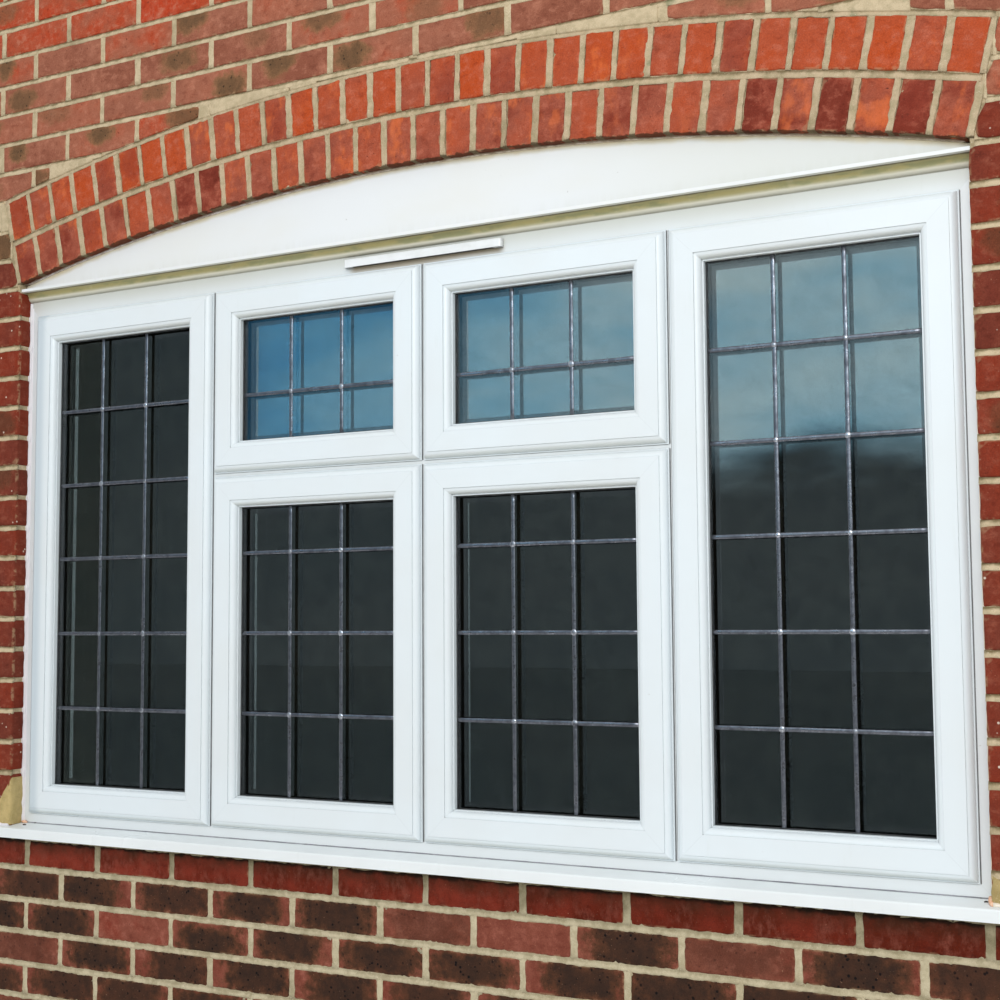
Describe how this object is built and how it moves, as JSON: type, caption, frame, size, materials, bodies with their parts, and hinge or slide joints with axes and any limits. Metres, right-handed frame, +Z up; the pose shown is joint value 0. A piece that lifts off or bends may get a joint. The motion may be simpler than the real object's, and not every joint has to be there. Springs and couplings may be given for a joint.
{
  "type": "casement window in an arched brick wall bay",
  "caption": "White leaded casement window of tall side lights and a split middle, in a cavity wall bay under a segmental brick arch with an infill panel",
  "frame": {"origin": "ground level under the window's centre line, in the middle of the brick leaf's thickness", "axes": "X along the wall to the right seen from outside, Y into the room, Z up; the brick face looks along -Y"},
  "size_m": [2.975, 0.3451, 3.15],
  "materials": {
    "brick": "rough wirecut",
    "arch_brick": "rough wirecut",
    "insulation": "mineral fibre batt",
    "block": "open textured",
    "concrete": "cast",
    "plaster": "matt emulsion",
    "board_paint": "satin paint",
    "frame_plastic": "soft sheen",
    "sash_plastic": "soft sheen",
    "clear_glass": "clear",
    "spacer_metal": "dark matt",
    "panel_plastic": "weathered sheen",
    "trim_plastic": "algae stained",
    "hood_plastic": "soft sheen",
    "sealant_bead": "smooth bead",
    "handle_finish": "white powder coat"
  },
  "bodies": {
    "root": {"brick_apron": "brick", "brick_pier_left": "brick", "brick_pier_right": "brick", "brick_spandrel": "brick", "arch_ring_inner": "arch_brick", "arch_ring_outer": "arch_brick", "cavity_insulation": "insulation", "block_apron": "block", "block_pier_left": "block", "block_pier_right": "block", "block_wall_over": "block", "inner_lintel": "concrete", "plaster_apron": "plaster", "plaster_left": "plaster", "plaster_right": "plaster", "plaster_over": "plaster", "window_board": "board_paint", "outer_sill": "frame_plastic", "frame_head": "frame_plastic", "frame_foot": "frame_plastic", "frame_jamb_left": "frame_plastic", "frame_jamb_right": "frame_plastic", "head_extension": "frame_plastic", "mullion_left": "frame_plastic", "mullion_centre": "frame_plastic", "mullion_right": "frame_plastic", "transom_left": "frame_plastic", "transom_right": "frame_plastic", "glazing_beads": "frame_plastic", "vent_cover_inside": "frame_plastic", "sash_left": "sash_plastic", "sash_lower_left": "sash_plastic", "sash_lower_right": "sash_plastic", "sash_right": "sash_plastic", "vent_sash_left": "sash_plastic", "vent_sash_right": "sash_plastic", "glass_left": "clear_glass", "glass_lower_left": "clear_glass", "glass_lower_right": "clear_glass", "glass_right": "clear_glass", "vent_glass_left": "clear_glass", "vent_glass_right": "clear_glass", "glass_spacers": "spacer_metal", "arch_panel": "panel_plastic", "panel_drip_lip": "trim_plastic", "head_trim": "trim_plastic", "vent_hood": "hood_plastic", "sealant": "sealant_bead", "window_handles": "handle_finish"}
  },
  "joints": []
}
